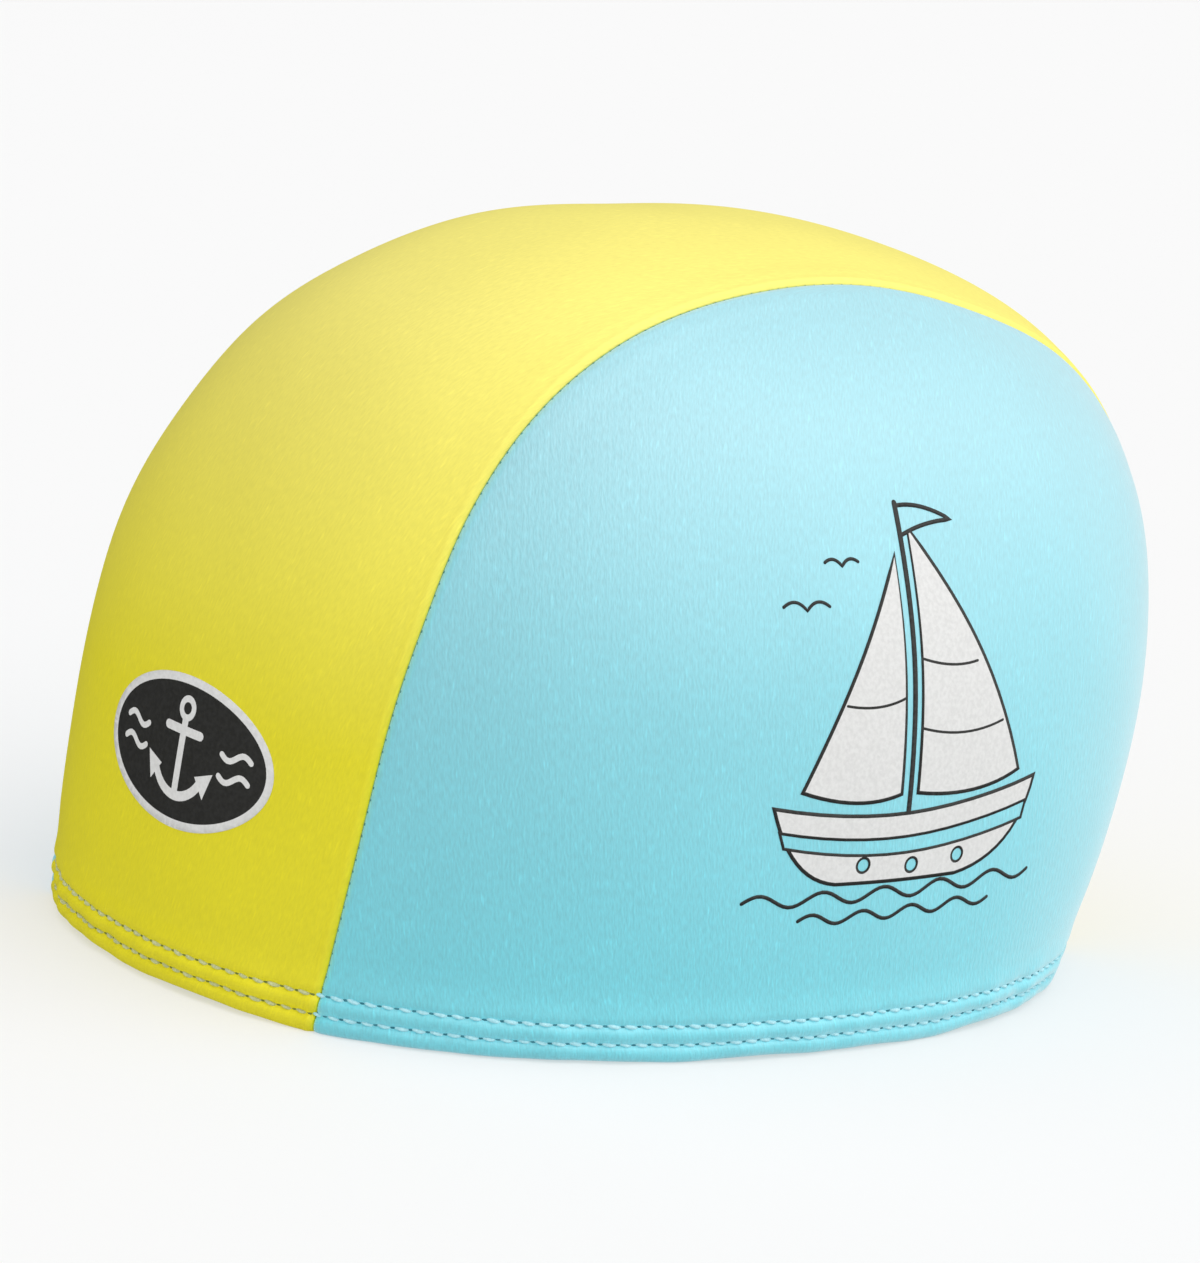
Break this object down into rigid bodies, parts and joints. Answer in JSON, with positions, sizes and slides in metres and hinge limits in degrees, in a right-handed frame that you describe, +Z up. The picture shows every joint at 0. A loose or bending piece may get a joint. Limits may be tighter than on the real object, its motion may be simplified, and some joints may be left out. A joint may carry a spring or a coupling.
{
  "type": "swim cap",
  "caption": "Close-fitting stretch swim cap shaped to the head, with a centre panel running from brow to nape, a side panel over each ear and a turned-up stitched hem.",
  "frame": {"origin": "the middle of the box round the cap, on the level that the rim stands on", "axes": "-Y towards the forehead, +Y towards the nape, +X towards the wearer's left, +Z up to the crown"},
  "size_m": [0.1508, 0.1846, 0.1236],
  "materials": {
    "yellow_cloth": "fine smooth knit with a soft sheen",
    "blue_cloth": "fine smooth knit with a soft sheen"
  },
  "bodies": {
    "root": {"centre_panel": "yellow_cloth", "side_panel_left": "blue_cloth", "side_panel_right": "blue_cloth"}
  },
  "joints": []
}
